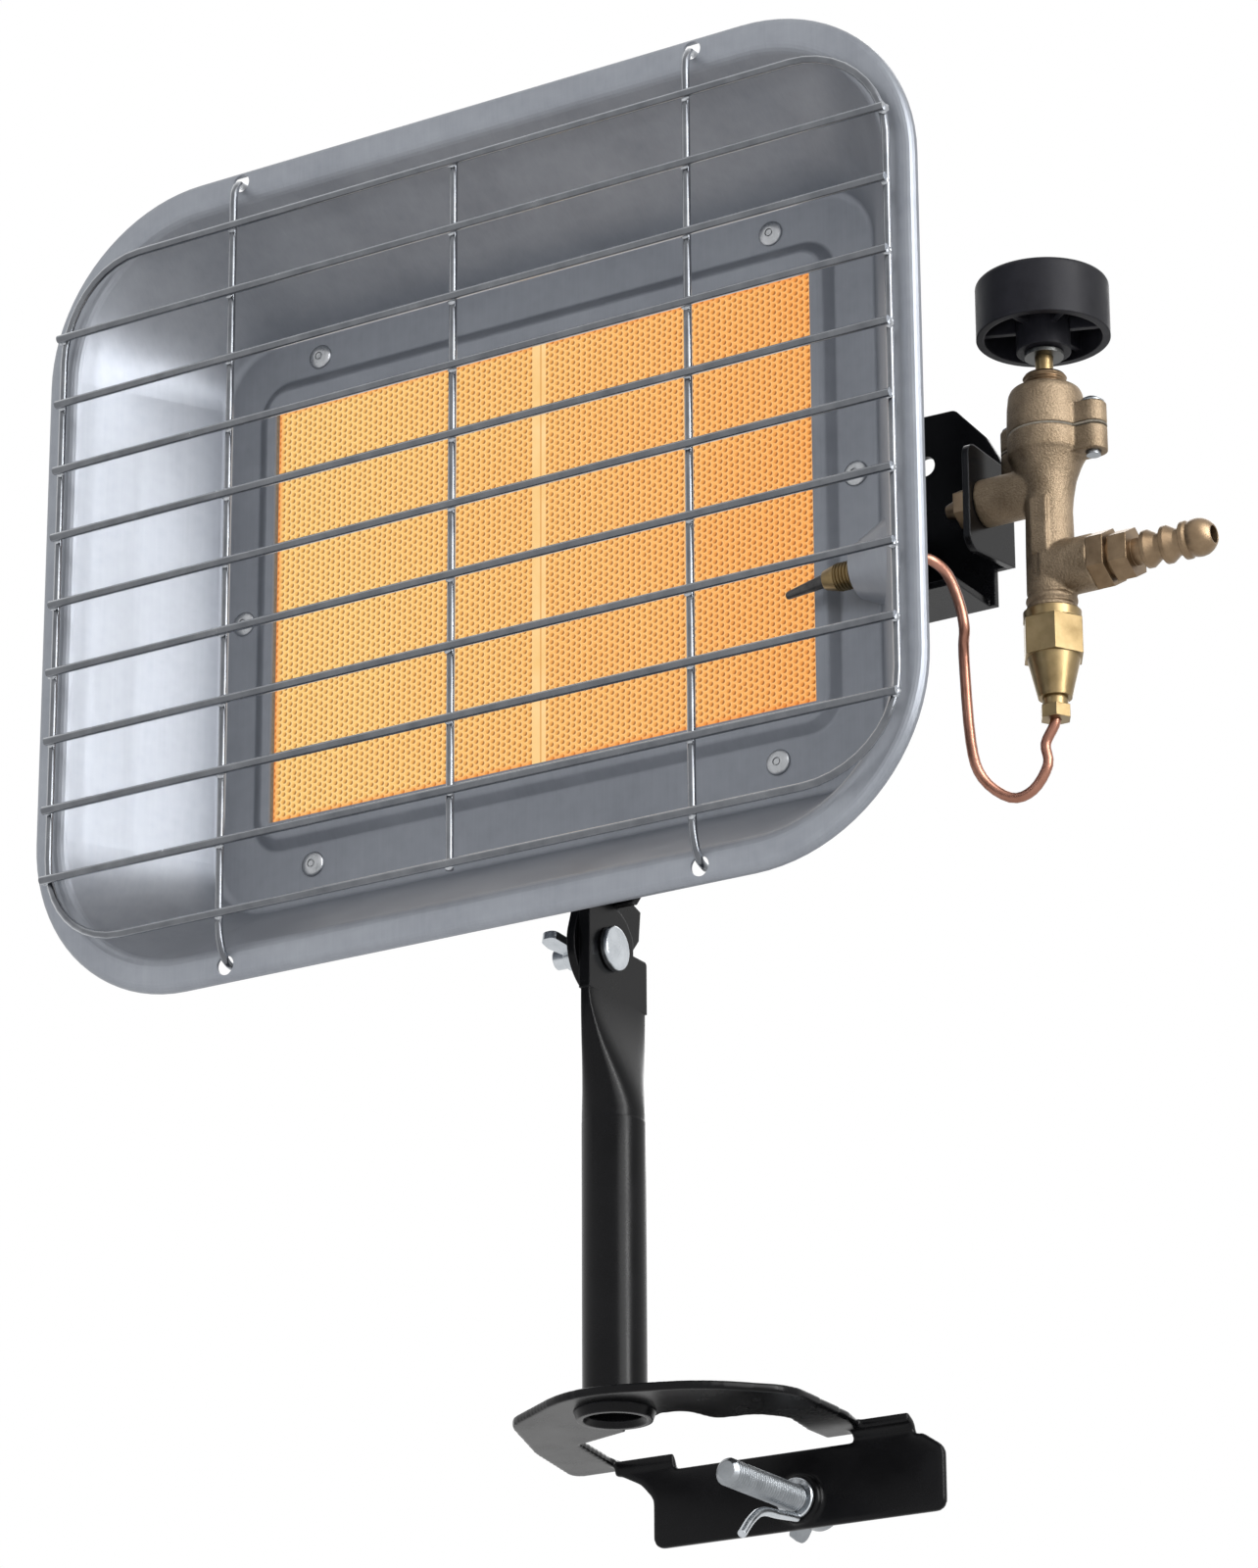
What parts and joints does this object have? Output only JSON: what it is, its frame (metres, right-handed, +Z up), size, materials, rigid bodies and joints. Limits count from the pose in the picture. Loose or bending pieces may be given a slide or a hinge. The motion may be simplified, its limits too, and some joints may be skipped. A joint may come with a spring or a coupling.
{
  "type": "gas patio heater",
  "caption": "Infrared gas heater: rounded pan reflector with glowing ceramic tiles behind a wire guard, brass valve with knob, on a tilting post with a screw clamp.",
  "frame": {"origin": "middle of the clamp's opening, on the underside of the clamp sheet", "axes": "+Z up along the post, -Y the way the glowing face looks, +X towards the valve"},
  "size_m": [0.3425, 0.1545, 0.3964],
  "materials": {
    "black_paint": "semi-gloss black paint",
    "zinc_plate": "bright zinc plating",
    "galvanised_sheet": "rolled galvanised sheet",
    "guard_wire": "bright plated wire",
    "glowing_tile": "perforated ceramic at red heat",
    "tile_cement": "glowing fibre strip",
    "cast_brass": "rough sand casting",
    "turned_brass": "turned, polished",
    "copper": "drawn copper tube",
    "knob_plastic": "matt moulding",
    "gasket_board": "pressed fibre board"
  },
  "bodies": {
    "base": {"clamp_plate": "black_paint", "post_tube": "black_paint", "hinge_bolt": "zinc_plate"},
    "head": {"hinge_bracket": "black_paint", "valve_bracket": "black_paint", "bracket_screws": "zinc_plate", "bonnet_screws": "zinc_plate", "spindle_spring": "zinc_plate", "thermo_tip": "zinc_plate", "reflector": "galvanised_sheet", "burner_rivets": "galvanised_sheet", "burner_housing": "galvanised_sheet", "mixing_tube": "galvanised_sheet", "guard_loop": "guard_wire", "guard_bars": "guard_wire", "guard_uprights": "guard_wire", "tile_left": "glowing_tile", "tile_right": "glowing_tile", "tile_seam": "tile_cement", "valve_body": "cast_brass", "valve_bonnet": "cast_brass", "packing_nut": "turned_brass", "magnet_unit": "turned_brass", "inlet_nut": "turned_brass", "hose_nozzle": "turned_brass", "union_nut": "turned_brass", "lead_nut": "turned_brass", "thermo_fitting": "turned_brass", "probe_nut": "turned_brass", "injector": "turned_brass", "thermo_lead": "copper", "burner_gasket": "gasket_board", "valve_gasket": "gasket_board"},
    "clamp_screw": {"clamp_screw": "zinc_plate"},
    "screw_wing": {"clamp_screw_wing": "zinc_plate"},
    "lock_nut": {"clamp_lock_nut": "zinc_plate"},
    "hinge_washer": {"hinge_washer": "zinc_plate"},
    "wing_nut": {"hinge_wing_nut": "zinc_plate"},
    "press": {"spindle_washer": "zinc_plate"},
    "knob": {"knob": "knob_plastic", "spindle": "turned_brass"}
  },
  "joints": [
    {"name": "head_tilt", "type": "hinge", "parent": "base", "child": "head", "pos_m": [-0.0275, -0.042, 0.1326], "axis": [1, 0, 0], "range_deg": [-45, 30]},
    {"name": "hinge_loosen", "type": "slide", "parent": "base", "child": "hinge_washer", "axis": [-1, 0, 0], "range_m": [0, 0.001]},
    {"name": "hinge_nut_turn", "type": "hinge", "parent": "hinge_washer", "child": "wing_nut", "pos_m": [-0.0275, -0.042, 0.1326], "axis": [-1, 0, 0], "range_deg": [0, 360]},
    {"name": "clamp_screw_travel", "type": "slide", "parent": "base", "child": "clamp_screw", "axis": [0, 1, 0], "range_m": [0, 0.02]},
    {"name": "clamp_screw_turn", "type": "hinge", "parent": "clamp_screw", "child": "screw_wing", "pos_m": [0, 0.016, -0.0175], "axis": [0, 1, 0], "range_deg": [0, 5760]},
    {"name": "lock_nut_turn", "type": "hinge", "parent": "base", "child": "lock_nut", "pos_m": [0, 0.016, -0.0175], "axis": [0, 1, 0], "range_deg": [0, 90]},
    {"name": "knob_press", "type": "slide", "parent": "head", "child": "press", "axis": [0, 0, -1], "range_m": [0, 0.003], "stiffness_N_per_m": 800, "springref_m": -0.003, "deforming": ["spindle_spring"]},
    {"name": "knob_turn", "type": "hinge", "parent": "press", "child": "knob", "pos_m": [0.1218, -0.0539, 0.28], "axis": [0, 0, 1], "range_deg": [0, 180]}
  ],
  "couplings": [
    {"joint": "hinge_loosen", "follows": "hinge_nut_turn", "m_per_rad": 0.00015915},
    {"joint": "clamp_screw_travel", "follows": "clamp_screw_turn", "m_per_rad": 0.00019894}
  ]
}
